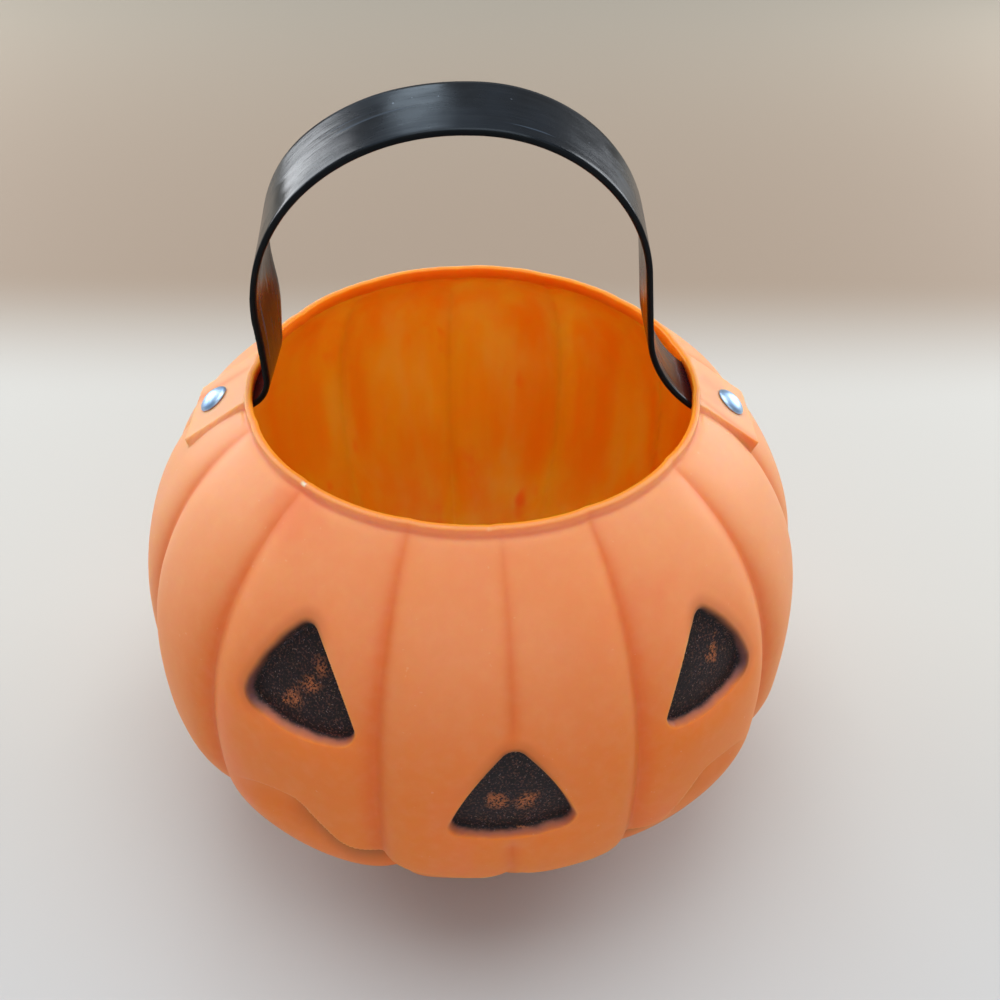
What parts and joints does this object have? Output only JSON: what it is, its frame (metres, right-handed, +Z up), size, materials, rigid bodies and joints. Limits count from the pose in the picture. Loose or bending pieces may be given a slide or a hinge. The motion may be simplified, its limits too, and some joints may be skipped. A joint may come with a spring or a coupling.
{
  "type": "pumpkin candy pail",
  "caption": "Round ribbed pumpkin pail with a pressed-in carved-face motif, an open top with a short collar, and a flat strap handle that swings over the opening.",
  "frame": {"origin": "middle of the flat base", "axes": "+Z up, -Y towards the front, X along the line through the rivets, which the handle swings about"},
  "size_m": [0.2201, 0.2205, 0.2518],
  "materials": {
    "orange_shell": "satin",
    "black_strap": "gloss",
    "rivet_metal": "polished"
  },
  "bodies": {
    "pail": {"pumpkin_shell": "orange_shell", "left_strap_end": "black_strap", "right_strap_end": "black_strap", "left_rivet_cap": "rivet_metal", "left_rivet_post": "rivet_metal", "right_rivet_cap": "rivet_metal", "right_rivet_post": "rivet_metal"},
    "handle": {"strap_arch": "black_strap"}
  },
  "joints": [
    {"name": "handle_swing", "type": "hinge", "parent": "pail", "child": "handle", "pos_m": [0, 0, 0.17496], "axis": [1, 0, 0], "range_deg": [-48, 32], "stiffness_Nm_per_rad": 0.06}
  ]
}
